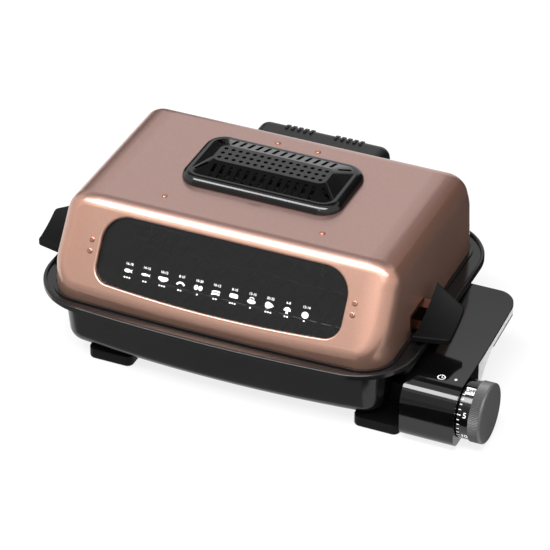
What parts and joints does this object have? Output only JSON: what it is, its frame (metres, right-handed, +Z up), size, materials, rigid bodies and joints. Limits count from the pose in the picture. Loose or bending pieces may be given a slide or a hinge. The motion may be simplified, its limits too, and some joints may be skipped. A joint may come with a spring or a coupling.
{
  "type": "double-sided grill",
  "caption": "Countertop double-sided grill: bowed black tub with a hinged rose-gold lid, sloped window, vent cover, side handles and a control box with a timer dial at the right.",
  "frame": {"origin": "on the table, under the middle of the whole object's outline", "axes": "+X to the right, towards the control box; +Y to the rear, towards the hinge; +Z up"},
  "size_m": [0.4994, 0.3163, 0.1866],
  "materials": {
    "enamel_black": "gloss",
    "tray_coating": "satin",
    "lid_paint": "satin metallic",
    "steel": "brushed",
    "steel_black": "satin",
    "heater_sheath": "oxidised",
    "rack_chrome": "polished",
    "window_glass": "polished",
    "gasket_rubber": "matte",
    "plastic_gloss_black": "gloss",
    "plastic_pale_grey": "satin",
    "plastic_satin_black": "satin",
    "plastic_dial": "satin",
    "plastic_inner": "matte",
    "foot_plastic": "matte",
    "ceramic": "matte",
    "filter_ceramic": "matte"
  },
  "bodies": {
    "base": {"tub": "enamel_black", "foot_front_left": "foot_plastic", "foot_rear_left": "foot_plastic", "foot_front_right": "foot_plastic", "foot_rear_right": "foot_plastic", "foot_screws": "steel", "drip_tray": "tray_coating", "lower_heater": "heater_sheath", "heater_saddles": "steel", "grill_rack": "rack_chrome", "terminal_housing": "plastic_satin_black", "cord_inlet": "plastic_satin_black", "terminal_block": "ceramic", "control_cover": "plastic_gloss_black", "control_case": "plastic_pale_grey", "timer_body": "plastic_inner", "hinge_bracket_left": "steel_black", "hinge_bracket_right": "steel_black", "hinge_pin_left": "steel", "hinge_pin_right": "steel"},
    "lid": {"lid_shell": "lid_paint", "lid_rivets": "steel", "window_clip_left": "steel", "window_clip_right": "steel", "heater_hanger_left": "steel", "heater_hanger_right": "steel", "heater_hanger_rear": "steel", "filter_holder": "steel", "hinge_arm_left": "steel_black", "hinge_arm_right": "steel_black", "handle_strap_left": "steel_black", "handle_strap_right": "steel_black", "upper_heater": "heater_sheath", "window_glass": "window_glass", "window_gasket": "gasket_rubber", "rear_hood": "plastic_satin_black", "hood_base": "plastic_satin_black", "handle_left": "plastic_satin_black", "handle_right": "plastic_satin_black", "upper_terminal_block": "ceramic", "deodorizing_filter": "filter_ceramic"},
    "timer": {"timer_dial": "plastic_dial", "timer_shaft": "steel"},
    "vent": {"vent_cover": "plastic_satin_black"}
  },
  "joints": [
    {"name": "lid_hinge", "type": "hinge", "parent": "base", "child": "lid", "pos_m": [-0.02665, 0.14065, 0.091], "axis": [-1, 0, 0], "range_deg": [0, 95]},
    {"name": "timer_turn", "type": "hinge", "parent": "base", "child": "timer", "pos_m": [0.23735, -0.09335, 0.034], "axis": [-1, 0, 0], "range_deg": [0, 300]},
    {"name": "vent_lift", "type": "slide", "parent": "lid", "child": "vent", "axis": [0, 0, 1], "range_m": [0, 0.04]}
  ]
}
